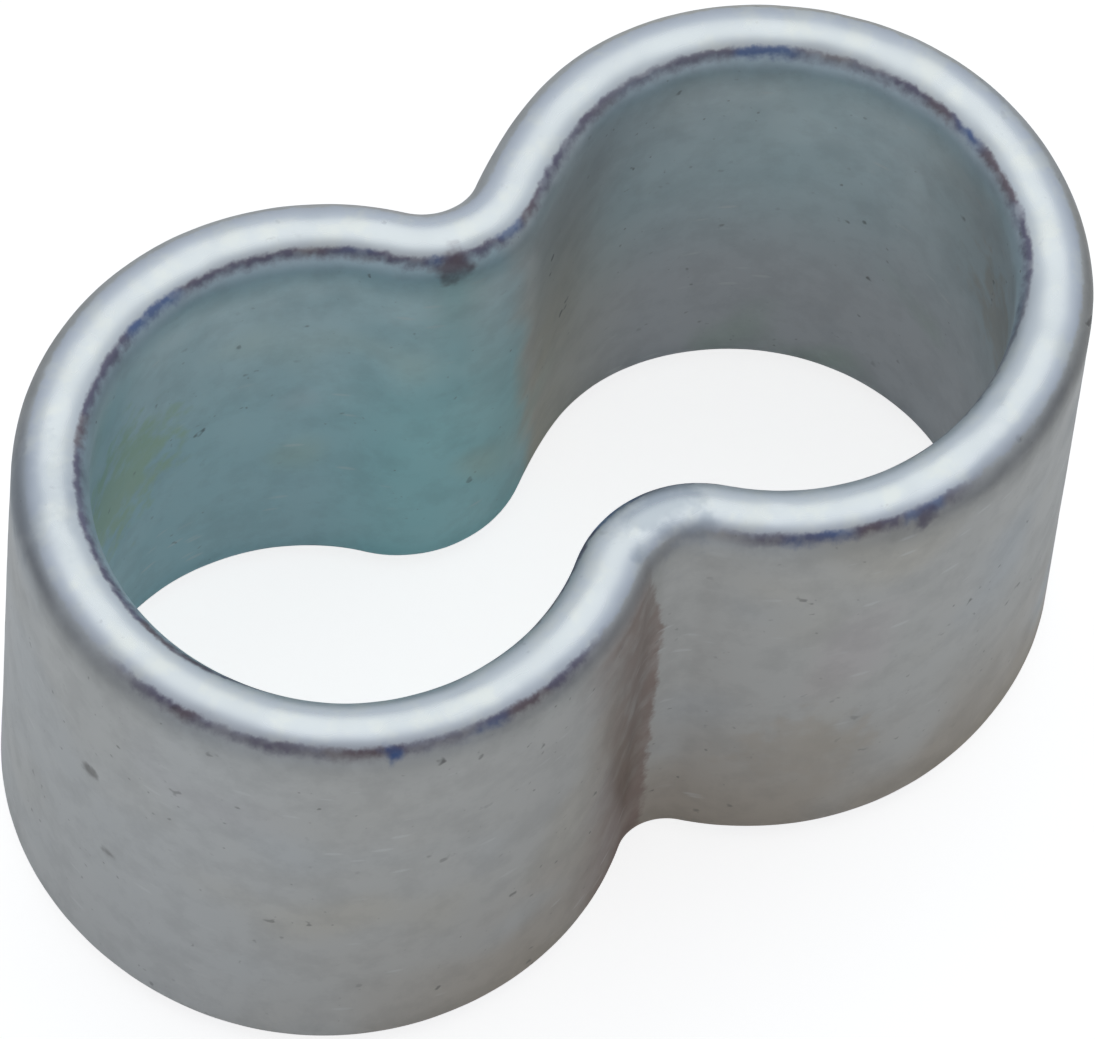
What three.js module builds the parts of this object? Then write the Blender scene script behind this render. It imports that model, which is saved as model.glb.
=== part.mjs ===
// A figure-eight cord clamp: one band of plated sheet steel, bent into two round eyes side by side.
// Two strands of an elastic cord lie in the eyes, and the band is squeezed shut round them for good.
// Millimetres, +Z up. The band stands on its lower rim, +X runs from eye to eye, and the origin is
// at the middle of the foot.
import * as THREE from 'three';

// Driving dimensions
const EYE_DIAMETER = 8.25; // inside of each eye, for 8 mm cord
const SHEET = 1.3; // thickness of the steel
const EYE_SPACING = 8.35; // from the middle of one eye to the middle of the other
const NECK_RADIUS = 0.9; // outside radius of the two grooves between the eyes
const HEIGHT = 10; // width of the band, along the cord
const RIM_RADIUS = 0.5; // rounding of the four long edges, which leaves a narrow flat land

// Fineness of the curves
const EYE_STEPS = 44;
const NECK_STEPS = 10;
const RIM_STEPS = 4;

// The middle of the sheet is four arcs that run into each other: two eyes and two necks.
const EYE_MID_RADIUS = EYE_DIAMETER / 2 + SHEET / 2;
const NECK_MID_RADIUS = NECK_RADIUS + SHEET / 2;
const HALF_SPACING = EYE_SPACING / 2;
const EYE_TO_NECK = EYE_MID_RADIUS + NECK_MID_RADIUS;
const NECK_CENTRE_Y = Math.sqrt(EYE_TO_NECK ** 2 - HALF_SPACING ** 2);
const TURN = Math.atan2(NECK_CENTRE_Y, HALF_SPACING); // direction of a neck's centre, seen from an eye

// Points along an arc, without its last one, which is the first of the next arc.
function arc(x, y, radius, from, to, steps) {
  return Array.from({ length: steps }, (_, i) => {
    const angle = from + ((to - from) * i) / steps;
    return new THREE.Vector2(x + radius * Math.cos(angle), y + radius * Math.sin(angle));
  });
}

// The closed outline that lies the given distance outside the middle of the sheet.
function outline(offset) {
  const eye = EYE_MID_RADIUS + offset;
  const neck = NECK_MID_RADIUS - offset;
  return [
    ...arc(HALF_SPACING, 0, eye, TURN - Math.PI, Math.PI - TURN, EYE_STEPS),
    ...arc(0, NECK_CENTRE_Y, neck, -TURN, TURN - Math.PI, NECK_STEPS),
    ...arc(-HALF_SPACING, 0, eye, TURN, 2 * Math.PI - TURN, EYE_STEPS),
    ...arc(0, -NECK_CENTRE_Y, neck, Math.PI - TURN, TURN, NECK_STEPS),
  ];
}

// The band: the outline of the sheet raised to its full width, with all four edges rounded over.
function bandGeometry() {
  const section = new THREE.Shape(outline(SHEET / 2));
  section.holes.push(new THREE.Path(outline(-SHEET / 2)));
  const geometry = new THREE.ExtrudeGeometry(section, {
    depth: HEIGHT - 2 * RIM_RADIUS,
    bevelEnabled: true,
    bevelThickness: RIM_RADIUS,
    bevelSize: RIM_RADIUS,
    bevelOffset: -RIM_RADIUS,
    bevelSegments: RIM_STEPS,
  });
  return geometry.translate(0, 0, RIM_RADIUS);
}

const platedSteel = new THREE.MeshStandardMaterial({ color: 0xa9b0b3, roughness: 0.35, metalness: 1 });

const band = new THREE.Mesh(bandGeometry(), platedSteel);
band.name = 'clamp_band';

const clamp = new THREE.Group();
clamp.add(band);

export default clamp;
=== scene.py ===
# A figure-eight cord clamp of zinc-plated sheet steel, on a plain pale floor in soft studio light.
# The band's path and size follow the CAD model. Blender adds what forming, tumbling and plating
# leave on the metal: rolled rims, slack curves, small dents, and the colours of the passivated zinc,
# with some light and shade painted into them.
import math
import random

import bpy
import numpy as np
from mathutils import Matrix, Vector, noise


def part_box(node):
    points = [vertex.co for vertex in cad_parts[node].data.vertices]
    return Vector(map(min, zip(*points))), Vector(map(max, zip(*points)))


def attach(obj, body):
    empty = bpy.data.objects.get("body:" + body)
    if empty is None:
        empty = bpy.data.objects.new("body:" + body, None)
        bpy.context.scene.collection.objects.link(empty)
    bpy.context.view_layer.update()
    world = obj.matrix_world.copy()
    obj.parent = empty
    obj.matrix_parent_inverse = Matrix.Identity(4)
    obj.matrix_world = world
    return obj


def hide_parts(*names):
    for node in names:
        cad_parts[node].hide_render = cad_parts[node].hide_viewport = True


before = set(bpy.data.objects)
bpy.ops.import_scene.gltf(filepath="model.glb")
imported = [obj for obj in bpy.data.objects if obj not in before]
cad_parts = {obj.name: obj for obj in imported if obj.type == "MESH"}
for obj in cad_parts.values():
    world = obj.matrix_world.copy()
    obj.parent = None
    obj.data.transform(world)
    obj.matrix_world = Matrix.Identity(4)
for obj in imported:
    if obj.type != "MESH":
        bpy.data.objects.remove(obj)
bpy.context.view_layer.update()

MM = 0.001
NODE = "clamp_band"

# Driving dimensions, in millimetres. The overall ones come from the frame.
BOX_LOW, BOX_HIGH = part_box(NODE)
LENGTH, WIDTH, HEIGHT = [(high - low) / MM for low, high in zip(BOX_LOW, BOX_HIGH)]
SHEET = 1.3  # thickness of the steel
NECK_RADIUS = 0.9  # outside radius of the grooves between the eyes
RIM_DEPTH = 0.56  # how far down each side the rounding of a rim reaches
RIM_FULLNESS = 2.15  # 2 is an ellipse, more is squarer

# Fineness of the mesh
STEPS_ALONG = 480
STEPS_UP_WALL = 72
STEPS_OVER_RIM = 28

# The middle of the sheet: two eyes and two necks, as arcs that run into each other
EYE_MID_RADIUS = (WIDTH - SHEET) / 2
NECK_MID_RADIUS = NECK_RADIUS + SHEET / 2
HALF_SPACING = (LENGTH - WIDTH) / 2
NECK_CENTRE_Y = math.sqrt((EYE_MID_RADIUS + NECK_MID_RADIUS) ** 2 - HALF_SPACING**2)
TURN = math.atan2(NECK_CENTRE_Y, HALF_SPACING)
EYE_ARC = 2 * (math.pi - TURN) * EYE_MID_RADIUS
NECK_ARC = (math.pi - 2 * TURN) * NECK_MID_RADIUS
AROUND = 2 * (EYE_ARC + NECK_ARC)

# Where the formed band strays from the true curve: (distance along it, how far out, reach), in mm.
# Distances run round the right eye from front to back, past the back neck and round the left eye.
SLACK = [
    (EYE_ARC - 0.6, -0.19, 1.8),
    (EYE_ARC + NECK_ARC + 5.2, 0.07, 2.6),
    (4.6, -0.04, 2.4),
    (2 * EYE_ARC + NECK_ARC - 6.0, 0.04, 2.5),
]

# What forming and tumbling leave, in mm. A pace is in waves per mm.
RIPPLE = 0.02  # slow wander of the walls, along the band and up it
RIPPLE_PACE = 0.22
LEAN_PACE = (0.25, 0.25, 0.2)
RIM_WANDER = 0.025  # how far the rims dip below their full height, at most
RIM_PACE = 0.3
RIM_NOISE = Vector((0, 0, 9))  # a part of the noise that the ripple doesn't read
FOOT_WANDER = 0.4  # how much of that dip the foot makes the other way
TUMBLE = 0.0035  # shallow hammering by the other clamps in the drum
TUMBLE_PACE, FINE_TUMBLE_PACE = 1.6, 3.4
KNOCKS = 150  # small dents
KNOCKS_ON_RIM = 0.35  # the share of them that lands on the upper rim
KNOCK_SPREAD = 0.4  # how far across the rim they land, as a share of the sheet
KNOCK_SINK = 0.05  # how far below the rim's top their middles are
KNOCK_MARGIN = 0.6  # how far the ones on the walls keep from the rims
KNOCK_REACH = (0.14, 0.38)
KNOCK_DEPTH = (0.006, 0.022)
KNOCK_SEED = 11


def mid_line(s):
    """The point and outward normal of the middle of the sheet, at a distance s along the band."""
    s %= AROUND
    if s < EYE_ARC:
        angle = TURN - math.pi + s / EYE_MID_RADIUS
        centre, radius, outward = (HALF_SPACING, 0), EYE_MID_RADIUS, 1
    elif s < EYE_ARC + NECK_ARC:
        angle = -TURN - (s - EYE_ARC) / NECK_MID_RADIUS
        centre, radius, outward = (0, NECK_CENTRE_Y), NECK_MID_RADIUS, -1
    elif s < 2 * EYE_ARC + NECK_ARC:
        angle = TURN + (s - EYE_ARC - NECK_ARC) / EYE_MID_RADIUS
        centre, radius, outward = (-HALF_SPACING, 0), EYE_MID_RADIUS, 1
    else:
        angle = math.pi - TURN - (s - 2 * EYE_ARC - NECK_ARC) / NECK_MID_RADIUS
        centre, radius, outward = (0, -NECK_CENTRE_Y), NECK_MID_RADIUS, -1
    ray = Vector((math.cos(angle), math.sin(angle), 0))
    return Vector((*centre, 0)) + ray * radius, ray * outward


def slack(s):
    """How far out the band strays at s, in mm."""
    total = 0
    for place, amount, reach in SLACK:
        away = abs((s - place + AROUND / 2) % AROUND - AROUND / 2)
        total += amount * math.exp(-((away / reach) ** 2))
    return total


def section():
    """The sheet's cross-section as (out, up) in mm, once round, from the foot of the outer wall."""
    half, low, high = SHEET / 2, RIM_DEPTH, HEIGHT - RIM_DEPTH
    power = 2 / RIM_FULLNESS
    rim = []
    for k in range(STEPS_OVER_RIM):
        turn = math.pi * k / STEPS_OVER_RIM
        side = math.copysign(abs(math.cos(turn)) ** power, math.cos(turn))
        rim.append((half * side, RIM_DEPTH * math.sin(turn) ** power))
    climb = [low + (high - low) * k / STEPS_UP_WALL for k in range(STEPS_UP_WALL)]
    points = [(half, up) for up in climb]
    points += [(out, high + up) for out, up in rim]
    points += [(-half, HEIGHT - up) for up in climb]
    points += [(-out, low - up) for out, up in rim]
    return points


def knocks():
    """Small dents from tumbling, as (place in mm, reach, depth)."""
    draw = random.Random(KNOCK_SEED)
    made = []
    for _ in range(KNOCKS):
        point, normal = mid_line(draw.uniform(0, AROUND))
        if draw.random() < KNOCKS_ON_RIM:
            out = draw.uniform(-KNOCK_SPREAD, KNOCK_SPREAD) * SHEET
            up = HEIGHT - KNOCK_SINK
        else:
            out = draw.choice((-0.5, 0.5)) * SHEET
            up = draw.uniform(KNOCK_MARGIN, HEIGHT - KNOCK_MARGIN)
        place = point + normal * out + Vector((0, 0, up))
        made.append((place, draw.uniform(*KNOCK_REACH), draw.uniform(*KNOCK_DEPTH)))
    return made


def swept_points(outline):
    """Every point of the band in mm, ring after ring, with its slack, ripple and wandering rims."""
    points = []
    for i in range(STEPS_ALONG):
        s = AROUND * i / STEPS_ALONG
        point, normal = mid_line(s)
        stray = slack(s) + RIPPLE * noise.noise(point * RIPPLE_PACE)
        wander = RIM_WANDER * (noise.noise(point * RIM_PACE + RIM_NOISE) - 1) / 2
        for out, up in outline:
            lift = wander * ((1 + FOOT_WANDER) * up / HEIGHT - FOOT_WANDER)
            place = (point.x, point.y, up)
            lean = RIPPLE * noise.noise(Vector([pace * at for pace, at in zip(LEAN_PACE, place)]))
            points.append(point + normal * (out + stray + lean) + Vector((0, 0, up + lift)))
    return points


def band():
    """The band as one closed mesh. Each point stores how far out from the middle of the sheet it is."""
    outline = section()
    ring = len(outline)
    points = swept_points(outline)
    faces = []
    for i in range(STEPS_ALONG):
        here, there = i * ring, (i + 1) % STEPS_ALONG * ring
        for j in range(ring):
            k = (j + 1) % ring
            faces.append((here + j, there + j, there + k, here + k))
    mesh = bpy.data.meshes.new("band")
    mesh.from_pydata([point * MM for point in points], [], faces)
    mesh.update()

    where = np.array(points)
    normals = np.array([v.normal for v in mesh.vertices])
    push = [noise.noise(p * TUMBLE_PACE) + noise.noise(p * FINE_TUMBLE_PACE) / 2 for p in points]
    push = TUMBLE * np.array(push)
    for place, reach, depth in knocks():
        away = ((where - np.array(place)) ** 2).sum(1) / reach**2
        push -= depth * np.exp(-away)
    where += normals * push[:, None]
    mesh.vertices.foreach_set("co", (where * MM).ravel())
    mesh.polygons.foreach_set("use_smooth", [True] * len(mesh.polygons))
    outs = [out for out, _ in outline] * STEPS_ALONG
    mesh.attributes.new("out", "FLOAT", "POINT").data.foreach_set("value", outs)
    mesh.update()
    made = bpy.data.objects.new("plated_band", mesh)
    bpy.context.collection.objects.link(made)
    return made


# The zinc plate

NOISE_STEP = (7.3, 3.1, 5.7)  # mm between the parts of the noise that two seeds in a row read


class Nodes:
    """The node tree of a material or a world, with short ways to add nodes and to join them."""

    def __init__(self, owner, shader="Principled BSDF"):
        owner.use_nodes = True
        self.tree = owner.node_tree
        self.shader = self.tree.nodes[shader]

    def add(self, kind, inputs=(), **settings):
        """A node of that kind. An input is a number, a colour or another node's output."""
        node = self.tree.nodes.new("ShaderNode" + kind)
        for name, value in settings.items():
            setattr(node, name, value)
        for name, value in dict(inputs).items():
            self.put(value, node.inputs[name])
        return node

    def put(self, value, socket):
        if isinstance(value, bpy.types.NodeSocket):
            self.tree.links.new(value, socket)
        else:
            socket.default_value = value

    def math(self, operation, *values):
        node = self.add("Math", enumerate(values), operation=operation)
        return node.outputs[0]

    def product(self, first, *others):
        for other in others:
            first = self.math("MULTIPLY", first, other)
        return first

    def ramp(self, value, start, end, low=0.0, high=1.0):
        """low where value is at start, high where it is at end, and smooth between them."""
        ends = {"Value": value, "From Min": start, "From Max": end, "To Min": low, "To Max": high}
        return self.add("MapRange", ends, interpolation_type="SMOOTHSTEP").outputs["Result"]

    def noise(self, where, scale, detail=1.0, rough=0.5, seed=0):
        """Noise about 0.5, with a scale in patches per mm. Each seed reads a different part of it."""
        shift = tuple(step * seed for step in NOISE_STEP)
        moved = self.add("VectorMath", {0: where, 1: shift}, operation="ADD").outputs[0]
        inputs = {"Vector": moved, "Scale": scale, "Detail": detail, "Roughness": rough}
        return self.add("TexNoise", inputs).outputs["Fac"]

    def patches(self, where, scale, seed, start, end, high):
        """Soft patches: 0 where the noise is below start, and high where it is above end."""
        return self.ramp(self.noise(where, scale, seed=seed), start, end, high=high)

    def mix(self, amount, first, second):
        node = self.add("Mix", data_type="RGBA")
        self.put(amount, node.inputs[0])
        self.put(first, node.inputs[6])
        self.put(second, node.inputs[7])
        return node.outputs[2]


ZINC = (0.705, 0.70, 0.67, 1)
TEAL = (0.57, 0.78, 0.82, 1)
DEEP_TEAL = (0.50, 0.80, 0.82, 1)
BLUE = (0.65, 0.69, 0.715, 1)
STRAW = (0.71, 0.68, 0.61, 1)
ROSE = (0.72, 0.67, 0.66, 1)
OLIVE = (0.60, 0.72, 0.62, 1)
MOSS = (0.55, 0.72, 0.55, 1)
UMBER = (0.70, 0.66, 0.55, 1)
BLOOM = (0.69, 0.70, 0.72, 1)
PALE = (0.84, 0.92, 0.95, 1)
RIM = (0.78, 0.80, 0.80, 1)
LILAC = (0.67, 0.69, 0.77, 1)
CREAM = (0.86, 0.86, 0.80, 1)
RIM_SHADE = (0.45, 0.49, 0.54, 1)
VIOLET = (0.18, 0.15, 0.23, 1)
INK_BLUE = (0.10, 0.19, 0.44, 1)
WINE = (0.22, 0.15, 0.17, 1)
GROOVE_SHADE = (0.42, 0.32, 0.28, 1)
FOOT_SHADE = (0.61, 0.55, 0.47, 1)
PIT = (0.20, 0.19, 0.18, 1)
SCRATCH = (0.88, 0.89, 0.88, 1)
BLACK = (0, 0, 0, 1)

# Single marks larger than the rest: (place in mm, reach, colour, strength). Some are stains and pits,
# and some painted shade or painted reflection, as noted.
MARKS = [
    ((-6.4, 3.4, 5.6), 2.2, MOSS, 0.9),
    # painted shade: a darker, warmer patch low on the right eye's front wall
    ((2.4, -4.9, 3.0), 1.6, FOOT_SHADE, 0.5),
    # painted dark reflection beside the rims, tinted like the film, in the next three
    ((-0.5, 2.6, 9.8), 0.45, WINE, 0.8),
    ((-6.1, -5.1, 9.9), 0.32, INK_BLUE, 0.9),
    ((3.9, -5.4, 9.85), 0.35, VIOLET, 0.7),
    ((-9.4, -1.1, 6.2), 0.28, PIT, 0.7),
    ((-9.2, -1.6, 4.0), 0.24, PIT, 0.6),
    # painted shade: a darker, warmer patch on the right eye's outer wall
    ((7.9, -1.4, 6.9), 1.6, FOOT_SHADE, 0.5),
    # painted shade: the rims' highlight dimmed at the front neck and on the left eye's rim
    ((0.1, -3.0, 10.0), 1.1, RIM_SHADE, 0.6),
    ((-8.9, 2.2, 9.9), 1.3, RIM_SHADE, 0.3),
]

# Where the look changes, in mm. Each pair is where something starts and where it is full.
# Distances from the middle of the sheet, across its thickness
INSIDE = (0.2, -0.2)
CREST = (0.47, 0.40)  # the polished top of the rims
LINE_NEAR, LINE_FAR = (0.34, 0.42), (0.58, 0.44)  # the two edges of the painted dark line beside it
OUTER_SLOPE = (-0.05, 0.4)  # the rims' outer slope, darker and cooler with a painted reflection of the room
SHOULDER = (0.05, 0.5)  # the duller slopes on either side of the crest
POLISH = 0.2  # how much wider the crest is inside the front walls
RAGGED = 0.16  # how far the crest and the line stray
# Distances from the nearer rim
LINE_BELOW = (0.5, 0.4)
SHOULDER_BELOW = (1.2, 0.3)
CREST_BELOW = (0.5, 0.1)
# Along X, from the left eye to the right one
LIT_LEFT_END = (-6.5, -9.3)  # the outer wall's left end, painted lighter as if lit more from that side
FOOT_SHADE_X = (-8.0, -3.0)  # where the painted shade at the foot grows, going right
BY_THE_NECK = (-2.6, -0.8)  # the deeper blue-green in the left eye
EYES_PART = (2.6, 1.9)  # where the right eye's film gives way to the left eye's
UMBER_ENDS = (1.5, 5.0)
BLUE_STARTS, BLUE_ENDS = (2.4, 4.0), (9.0, 6.5)  # the blue-green in the upper right eye
SHADE_LEFT, SHADE_RIGHT = (-2.4, -0.7), (0.02, -0.12)  # the painted groove shade's soft side and its sharp side
LINE_STOPS = (5.4, 4.2)  # how far right the outer wall's dark line goes
LINE_GAP, LINE_GAP_X = (1.0, 2.2), -0.5  # the gap in that line, and its middle
# Along Y, from back to front
FRONT_WALL = (-1.5, -3.5)
FRONT_LINE = (-0.8, -2.4)
# Up
# painted shade: the outer walls darker and browner towards the foot
FOOT_SHADE_HEIGHT = (5.0, 0.5)
# painted light: the inner walls paler towards the top
LIT_TOP = (4.0, 9.5)
BLUE_RISES = (2.5, 7.5)
SHADE_LEANS = (7.0, 10.0)  # where it leans to the left
SHADE_STOPS = (10.0, 9.2)

ROUGHNESS = (0.30, 0.42)  # of the walls, from patch to patch
BUMP_DEPTH = 0.006  # mm
MARK_RAGGED = 2  # how far a mark's outline strays, in reaches


def outer_film(n, where, side):
    """Outside: grey zinc with faint blue, straw and rose patches, painted shade near the foot, and
    painted light at the left end.
    """
    x, _, z = side["axes"]
    colour = n.mix(n.patches(where, 0.28, 1, 0.55, 0.78, 0.7), ZINC, BLUE)
    colour = n.mix(n.patches(where, 0.33, 2, 0.50, 0.72, 0.8), colour, STRAW)
    colour = n.mix(n.patches(where, 0.30, 3, 0.60, 0.80, 0.6), colour, ROSE)
    # Painted shade: the outer walls darker and browner towards the foot and to the right, where they
    # mirror the table's contact shadow
    foot_shade = n.product(
        n.ramp(z, *FOOT_SHADE_HEIGHT, high=0.9),
        n.patches(where, 0.35, 20, 0.3, 0.55, 1.0),
        n.ramp(x, *FOOT_SHADE_X, low=0.1),
    )
    colour = n.mix(foot_shade, colour, FOOT_SHADE)
    # Painted light: the outer wall lighter towards its left end
    return n.mix(n.ramp(x, *LIT_LEFT_END, high=0.6), colour, RIM)


def inner_film(n, where, side):
    """Inside: blue-green in the left eye and browner in the right one. They part at the back neck.
    Painted light makes the walls paler towards the top.
    """
    x, _, z = side["axes"]
    blue_green = n.mix(n.ramp(x, *BY_THE_NECK), TEAL, DEEP_TEAL)
    blue = n.product(
        n.ramp(z, *BLUE_RISES),
        n.ramp(x, *BLUE_STARTS, high=0.75),
        n.ramp(x, *BLUE_ENDS, low=0.3),
    )
    brown = n.mix(blue, n.mix(n.ramp(x, *UMBER_ENDS), UMBER, BLOOM), TEAL)
    leaning = n.math("MULTIPLY_ADD", z, 0.13, x)
    wavy = n.math("MULTIPLY_ADD", n.noise(where, 0.8, detail=2, seed=21), 0.8, leaning)
    colour = n.mix(n.ramp(wavy, *EYES_PART), brown, blue_green)
    colour = n.mix(n.patches(where, 0.4, 5, 0.60, 0.80, 0.6), colour, OLIVE)
    colour = n.mix(n.patches(where, 0.4, 22, 0.62, 0.82, 0.5), colour, BLOOM)
    # Painted light: the inner walls paler towards the rims, where more light reaches into the eyes
    return n.mix(n.ramp(z, *LIT_TOP, high=0.7), colour, PALE)


def neck_shade(n, where, side):
    """How strongly the grooves between the eyes hold painted shade, warm brown, on the left eye's side
    of them.
    """
    x, _, z = side["axes"]
    ragged = n.math("SUBTRACT", n.noise(where, 3.0, detail=3, rough=0.7, seed=6), 0.5)
    place = n.math("MULTIPLY_ADD", ragged, 0.4, x)
    place = n.math("ADD", place, n.ramp(z, *SHADE_LEANS, high=0.5))
    mottle = n.noise(where, 1.5, detail=3, rough=0.6, seed=23)
    return n.product(
        n.ramp(place, *SHADE_LEFT),
        n.ramp(place, *SHADE_RIGHT),
        n.ramp(z, *SHADE_STOPS),
        n.ramp(mottle, 0.25, 0.6, low=0.5),
        side["outside"],
    )


def painted_shoulder_line(n, where, side):
    """Where the rims meet the walls, a thin ragged dark line, kept only in places: a painted reflection
    of the dark shape on the camera's side, with the film's tint.
    """
    x, y, _ = side["axes"]
    line = n.product(
        n.ramp(side["worn_out"], *LINE_NEAR),
        n.ramp(side["worn_out"], *LINE_FAR),
        n.ramp(side["edge"], *LINE_BELOW),
        n.ramp(n.noise(where, 0.45, seed=9), 0.36, 0.52, low=0.7),
        n.ramp(n.noise(where, 4.0, detail=2, seed=16), 0.35, 0.55, low=0.7),
    )
    from_gap = n.math("ABSOLUTE", n.math("SUBTRACT", x, LINE_GAP_X))
    kept = n.product(n.ramp(y, *FRONT_LINE), n.ramp(x, *LINE_STOPS), n.ramp(from_gap, *LINE_GAP))
    return n.math("MULTIPLY", line, n.math("MAXIMUM", kept, side["inside"]))


def line_colour(n, where):
    """The painted dark line's colours: wine, violet and ink blue by turns."""
    tint = n.mix(n.ramp(n.noise(where, 0.7, seed=10), 0.38, 0.48), WINE, VIOLET)
    return n.mix(n.patches(where, 0.6, 11, 0.57, 0.68, 0.9), tint, INK_BLUE)


def rim_colour(n, where, side):
    """Polished zinc, with a painted cool reflection on its outer slope, and creamy in patches."""
    # Painted reflection: the outer slope darker and cooler
    colour = n.mix(n.ramp(side["out"], *OUTER_SLOPE, high=0.4), RIM, LILAC)
    creamy = n.noise(where, 1.6, detail=3, rough=0.6, seed=24)
    return n.mix(n.ramp(creamy, 0.45, 0.68, high=0.6), colour, CREAM)


def marked(n, where, colour):
    """That colour with the single marks on it, each with a ragged outline. Some are stains, some
    painted shade or painted reflection.
    """
    warp = n.add("TexNoise", {"Vector": where, "Scale": 2.2, "Detail": 3.0}).outputs["Color"]
    warped = n.add("VectorMath", {0: warp, 1: (-0.5, -0.5, -0.5)}, operation="ADD").outputs[0]
    for place, reach, mark_colour, strength in MARKS:
        stretch = (MARK_RAGGED * reach,) * 3
        bent = n.add("VectorMath", {0: warped, 1: stretch, 2: where}, operation="MULTIPLY_ADD")
        away = n.add("VectorMath", {0: bent.outputs[0], 1: place}, operation="DISTANCE")
        inside = n.ramp(away.outputs["Value"], reach, reach * 0.35, high=strength)
        colour = n.mix(inside, colour, mark_colour)
    return colour


def pits(n, where):
    """Small pits of mixed size and shape, in loose groups: 1 in a pit, 0 outside."""
    pit = n.ramp(n.noise(where, 2.4, detail=2, rough=0.55, seed=17), 0.70, 0.77)
    fine = n.patches(where, 6.0, 18, 0.73, 0.82, 0.8)
    loose = n.ramp(n.noise(where, 0.5, seed=19), 0.35, 0.60, low=0.15)
    return n.math("MULTIPLY", n.math("MAXIMUM", pit, fine), loose)


def scratches(n, where):
    """Short bright nicks, in scattered groups, leaning one way."""
    turned = n.add("Mapping", {"Vector": where, "Rotation": (0.2, 0.3, 0.4), "Scale": (1.3, 1.3, 5.0)})
    cells = n.add("TexVoronoi", {"Vector": turned.outputs[0], "Scale": 1.0})
    chance = n.add("SeparateColor", {0: cells.outputs["Color"]}).outputs[0]
    return n.product(
        n.ramp(cells.outputs["Distance"], 0.30, 0.15),
        n.ramp(chance, 0.72, 0.80),
        n.ramp(n.noise(where, 0.5, seed=15), 0.48, 0.58),
    )


def roughness(n, where, side, pit):
    """Smoothest on the crest of the rims, and roughest on their shoulders and in pits."""
    rough = n.noise(where, 0.9, detail=2, seed=12)
    rough = n.ramp(rough, 0.3, 0.7, low=ROUGHNESS[0], high=ROUGHNESS[1])
    rough = n.math("MULTIPLY_ADD", side["inside"], -0.02, rough)
    from_middle = n.math("ABSOLUTE", side["out"])
    shoulder = n.math("MULTIPLY", n.ramp(from_middle, *SHOULDER), n.ramp(side["edge"], *SHOULDER_BELOW))
    rough = n.math("MULTIPLY_ADD", shoulder, 0.28, rough)
    rough = n.math("MULTIPLY_ADD", n.ramp(side["edge"], *CREST_BELOW), -0.11, rough)
    return n.math("MULTIPLY_ADD", pit, 0.2, rough)


def relief(n, where, pit):
    """A soft orange peel with a little grain, and the pits sunk into it."""
    height = n.math("MULTIPLY_ADD", n.noise(where, 9.0, seed=13), 0.05, n.noise(where, 1.3, seed=14))
    height = n.math("MULTIPLY_ADD", pit, -1.5, height)
    bump = n.add("Bump", {"Strength": 0.5, "Distance": BUMP_DEPTH * MM, "Height": height})
    return bump.outputs[0]


def sides(n, where):
    """Where on the band a point is: its axes, which wall, and how near to a rim, in mm."""
    x, y, z = n.add("SeparateXYZ", {0: where}).outputs
    out = n.add("Attribute", attribute_name="out").outputs["Fac"]
    side = {
        "axes": (x, y, z),
        "out": out,
        "inside": n.ramp(out, *INSIDE),
        "outside": n.ramp(out, *reversed(INSIDE)),
        "edge": n.math("MINIMUM", z, n.math("SUBTRACT", HEIGHT, z)),
    }
    ragged = n.math("SUBTRACT", n.noise(where, 5.0, detail=3, rough=0.6, seed=8), 0.5)
    worn = n.math("MULTIPLY_ADD", ragged, RAGGED, n.math("ABSOLUTE", out))
    polished = n.math("MULTIPLY", side["inside"], n.ramp(y, *FRONT_WALL))
    side["worn_out"] = n.math("MULTIPLY_ADD", polished, -POLISH, worn)
    return side


def zinc_plate():
    """Bright zinc under a passivated film, rolled bright over the rims, with some light and shade
    painted into its colour.
    """
    material = bpy.data.materials.new("zinc_plate")
    n = Nodes(material)
    metres = n.add("TexCoord").outputs["Object"]
    where = n.add("VectorMath", {0: metres, "Scale": 1 / MM}, operation="SCALE").outputs[0]
    side = sides(n, where)
    crest = n.ramp(side["worn_out"], *CREST)
    pit = n.math("MULTIPLY", pits(n, where), n.ramp(crest, 0, 1, low=1.0, high=0.3))

    colour = n.mix(side["inside"], outer_film(n, where, side), inner_film(n, where, side))
    # Painted shade, warm brown, in the grooves between the eyes
    colour = n.mix(n.math("MULTIPLY", neck_shade(n, where, side), 0.95), colour, GROOVE_SHADE)
    mottle = n.noise(where, 1.3, detail=4, rough=0.65, seed=7)
    # The mix stops at 1, so the lighter patches stay as they are
    colour = n.mix(n.ramp(mottle, 0.3, 0.7, low=0.91, high=1.04), BLACK, colour)
    colour = n.mix(crest, colour, rim_colour(n, where, side))
    # Painted reflection: the dark line beside the rims, tinted like the film
    line = n.math("MULTIPLY", painted_shoulder_line(n, where, side), 0.85)
    colour = n.mix(line, colour, line_colour(n, where))
    colour = marked(n, where, colour)
    colour = n.mix(n.math("MULTIPLY", scratches(n, where), 0.35), colour, SCRATCH)
    colour = n.mix(n.math("MULTIPLY", pit, 0.55), colour, PIT)

    n.put(colour, n.shader.inputs["Base Color"])
    n.put(1.0, n.shader.inputs["Metallic"])
    n.put(roughness(n, where, side, pit), n.shader.inputs["Roughness"])
    n.put(relief(n, where, pit), n.shader.inputs["Normal"])
    return material


piece = band()
piece.data.materials.append(zinc_plate())
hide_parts(NODE)
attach(piece, "root")


# The studio

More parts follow.
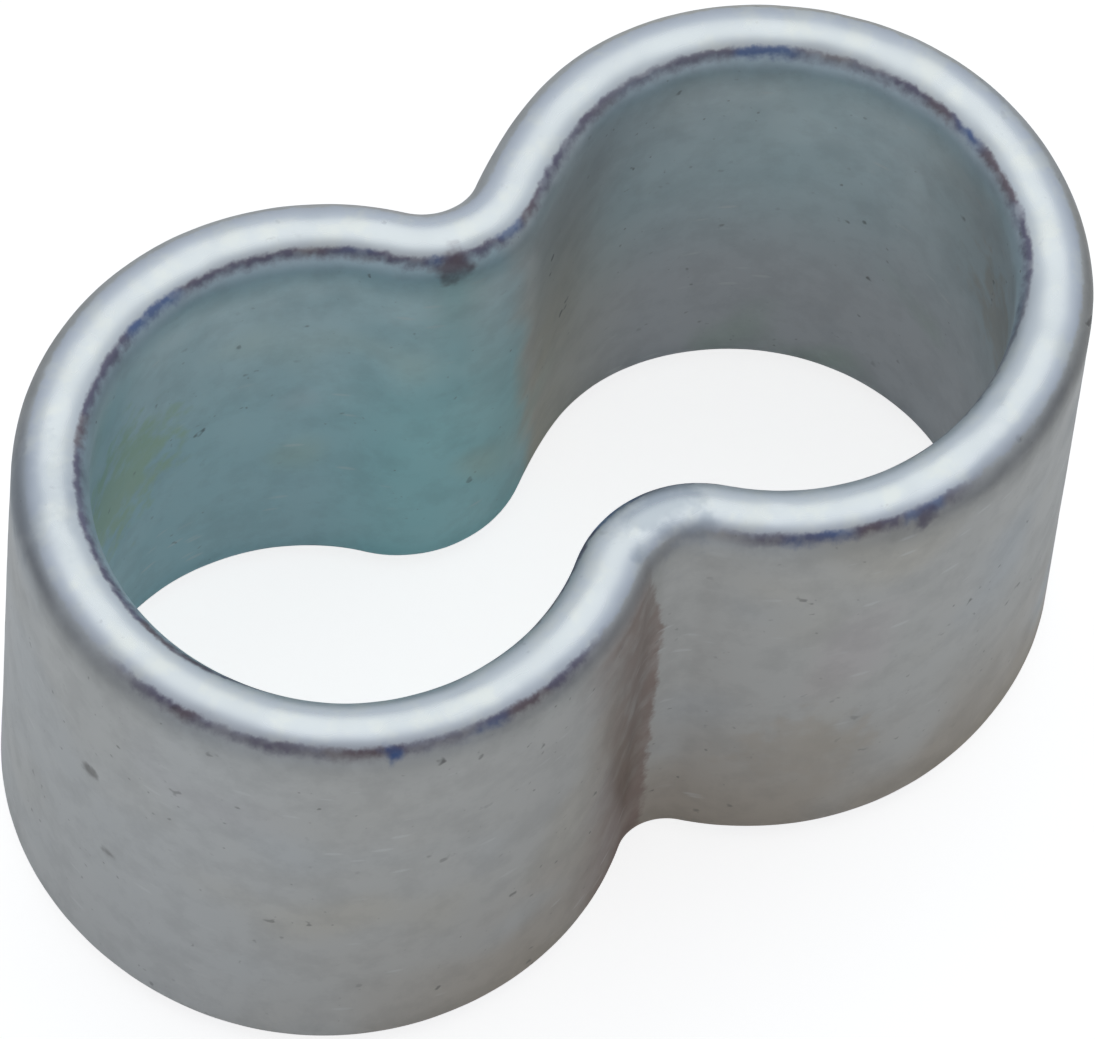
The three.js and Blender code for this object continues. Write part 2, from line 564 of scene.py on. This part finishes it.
FLOOR_SIZE = 3.0  # metres
BACKDROP_COLOUR = (1, 1, 1, 1)
FLOOR_COLOUR = (0.50, 0.49, 0.47, 1)
FLOOR_GLOW = 0.80  # lifts the floor's shadows towards white
TABLE_COLOUR = (0.95, 0.93, 0.90, 1)
TABLE_GLOW = 0.07  # what the rest of the studio adds to the table as the metal mirrors it
LAMP_COLOUR = (0.92, 0.98, 1.02, 1)
SIDE_COLOUR = (0.52, 0.58, 0.66, 1)
DARK_COLOUR = (0.20, 0.20, 0.22, 1)
LAMP_RISE = 68  # degrees up, on the far side of the object from the camera
LAMP_EDGE = (40, 0)  # degrees from its middle, over which the big soft lamp grows to full strength
# The photographer's shape on the camera's side, in degrees: where it starts and where it is full
DARK_LOW = (-5, 38)  # going up
DARK_HIGH = (90, 50)  # coming down
DARK_SPREAD = (80, 50)  # coming in from either side
PANEL_COLOUR = (0.10, 0.10, 0.12, 1)
PANEL_RISE = (34, 8)  # degrees up or down, where the dark panels to either side fade
PANEL_SPREAD = (48, 72)  # degrees from the camera's plane, over which they darken
TABLE_EDGE = (0.014, 0.045)  # metres to either side, over which the table darkens

AZIMUTH, ELEVATION, ROLL = [math.radians(angle) for angle in (-35.54, 59.67, 6.04)]
DISTANCE = 0.2341  # metres from the origin
LENS = 445.8  # mm, on a 36 mm sensor
AIM = (0.35, 2.50)  # where the camera aims, in mm right of and above the origin as it sees them


def glowing(name, colour, glow):
    """Dull paint that also gives off a little light of its own."""
    material = bpy.data.materials.new(name)
    material.use_nodes = True
    inputs = material.node_tree.nodes["Principled BSDF"].inputs
    inputs["Base Color"].default_value = colour
    inputs["Roughness"].default_value = 0.9
    inputs["Emission Color"].default_value = (1, 1, 1, 1)
    inputs["Emission Strength"].default_value = glow
    return material


def sheet(name, width, depth, material):
    """A flat rectangle round the origin, facing up, that isn't part of the object."""
    x, y = width / 2, depth / 2
    mesh = bpy.data.meshes.new(name)
    mesh.from_pydata([(-x, -y, 0), (x, -y, 0), (x, y, 0), (-x, y, 0)], [], [(0, 1, 2, 3)])
    mesh.materials.append(material)
    made = bpy.data.objects.new(name, mesh)
    bpy.context.collection.objects.link(made)
    return made


def only_reflected(thing):
    """A card that the metal mirrors, and that neither shows nor throws a shadow."""
    thing.visible_camera = False
    thing.visible_diffuse = False
    thing.visible_shadow = False


FRONT = Vector((math.sin(AZIMUTH), -math.cos(AZIMUTH), 0))
UP = Vector((0, 0, 1))
RIGHT = FRONT.cross(UP)


def sines(angles):
    """The sines of those angles in degrees."""
    return [math.sin(math.radians(angle)) for angle in angles]


def share(n, vector, direction):
    """How far a vector goes in that direction."""
    return n.add("VectorMath", {0: vector, 1: direction}, operation="DOT_PRODUCT").outputs["Value"]


def room():
    """A soft lamp beyond the object, pale walls, dark side panels, and the photographer leaning in."""
    world = bpy.data.worlds.new("room")
    world.use_nodes = True
    n = Nodes(world, "Background")
    towards = n.add("TexCoord").outputs["Generated"]
    rise = math.radians(LAMP_RISE)
    lamp = math.sin(rise) * UP - math.cos(rise) * FRONT
    top = n.ramp(share(n, towards, lamp), *[math.cos(math.radians(angle)) for angle in LAMP_EDGE])
    height = share(n, towards, UP)
    over = n.math("MULTIPLY", n.math("ARCTAN2", height, share(n, towards, FRONT)), 180 / math.pi)
    aside = n.math("ABSOLUTE", share(n, towards, RIGHT))
    dark = n.ramp(aside, *sines(DARK_SPREAD))
    dark = n.math("MULTIPLY", dark, n.ramp(over, *DARK_LOW))
    dark = n.math("MULTIPLY", dark, n.ramp(over, *DARK_HIGH))
    panel = n.ramp(n.math("ABSOLUTE", height), *sines(PANEL_RISE))
    panel = n.math("MULTIPLY", panel, n.ramp(aside, *sines(PANEL_SPREAD)))
    colour = n.mix(top, SIDE_COLOUR, LAMP_COLOUR)
    colour = n.mix(panel, colour, PANEL_COLOUR)
    colour = n.mix(dark, colour, DARK_COLOUR)
    colour = n.mix(n.add("LightPath").outputs["Is Camera Ray"], colour, BACKDROP_COLOUR)
    n.put(colour, n.shader.inputs["Color"])
    bpy.context.scene.world = world


def table_top():
    """The table as the metal mirrors it: pale round the object and darker to either side."""
    material = glowing("table", TABLE_COLOUR, TABLE_GLOW)
    n = Nodes(material)
    aside = n.math("ABSOLUTE", share(n, n.add("TexCoord").outputs["Object"], RIGHT))
    pale = n.ramp(aside, *TABLE_EDGE, low=1.0, high=0.0)
    n.put(n.mix(pale, PANEL_COLOUR, TABLE_COLOUR), n.shader.inputs["Base Color"])
    n.put(n.math("MULTIPLY", pale, TABLE_GLOW), n.shader.inputs["Emission Strength"])
    return material


def camera():
    """Azimuth 0 looks along +Y. The camera keeps the photograph's angle and framing."""
    back = Vector((
        math.sin(AZIMUTH) * math.cos(ELEVATION),
        -math.cos(AZIMUTH) * math.cos(ELEVATION),
        math.sin(ELEVATION),
    ))
    level = Vector((math.cos(AZIMUTH), math.sin(AZIMUTH), 0))
    rise = back.cross(level)
    right = math.cos(ROLL) * level + math.sin(ROLL) * rise
    up = back.cross(right)
    place = (AIM[0] * right + AIM[1] * up) * MM + back * DISTANCE
    data = bpy.data.cameras.new("camera")
    data.lens = LENS
    data.clip_start = 0.01
    made = bpy.data.objects.new("camera", data)
    made.matrix_world = Matrix.Translation(place) @ Matrix((right, up, back)).transposed().to_4x4()
    bpy.context.collection.objects.link(made)
    bpy.context.scene.camera = made


room()
floor = sheet("floor", FLOOR_SIZE, FLOOR_SIZE, glowing("floor", FLOOR_COLOUR, FLOOR_GLOW))
floor.visible_glossy = False
floor.visible_diffuse = False
only_reflected(sheet("table", FLOOR_SIZE, FLOOR_SIZE, table_top()))
camera()
bpy.context.scene.view_settings.view_transform = "Standard"
